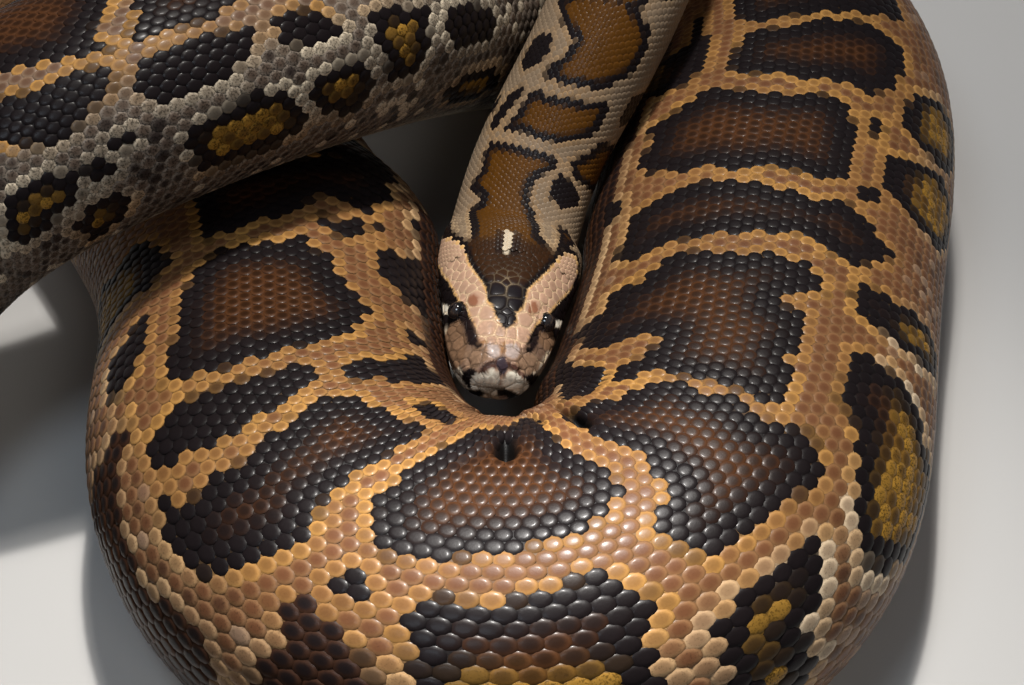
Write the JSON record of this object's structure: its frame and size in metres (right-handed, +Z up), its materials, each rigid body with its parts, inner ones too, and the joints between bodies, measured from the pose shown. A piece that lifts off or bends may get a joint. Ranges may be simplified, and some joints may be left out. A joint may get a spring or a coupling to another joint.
{
  "type": "coiled burmese python",
  "caption": "Life-size still model of a large Burmese python resting in a coil, its head between the arms of the front bend, with patterned scaled skin.",
  "frame": {"origin": "on the floor, at the middle of the rectangle that the coil covers", "axes": "+Z up; the head looks along -Y and +X is to the head's left"},
  "size_m": [0.6994, 1.0606, 0.2434],
  "materials": {
    "skin_trunk": "smooth glossy scales, near-black blotches edged gold on tan",
    "skin_neck": "small smooth scales, brown blotches on grey-tan",
    "skin_tail": "small smooth scales, dark blotches on grey-tan",
    "skin_head": "large glossy head plates, dark arrow mark between pinkish-tan stripes",
    "eye": "wet, very glossy, dark"
  },
  "bodies": {
    "root": {"head": "skin_head", "lower_jaw": "skin_head", "eye_left": "eye", "eye_right": "eye", "neck_front": "skin_neck", "neck_middle": "skin_neck", "neck_rear": "skin_neck", "trunk_01": "skin_trunk", "trunk_02": "skin_trunk", "trunk_03": "skin_trunk", "trunk_04": "skin_trunk", "trunk_05": "skin_trunk", "trunk_06": "skin_trunk", "trunk_07": "skin_trunk", "trunk_08": "skin_trunk", "trunk_09": "skin_trunk", "trunk_10": "skin_trunk", "trunk_11": "skin_trunk", "trunk_12": "skin_trunk", "trunk_13": "skin_trunk", "trunk_14": "skin_trunk", "trunk_15": "skin_trunk", "trunk_16": "skin_trunk", "trunk_17": "skin_trunk", "trunk_18": "skin_trunk", "tail_base": "skin_tail", "tail_middle": "skin_tail", "tail_tip": "skin_tail"}
  },
  "joints": []
}
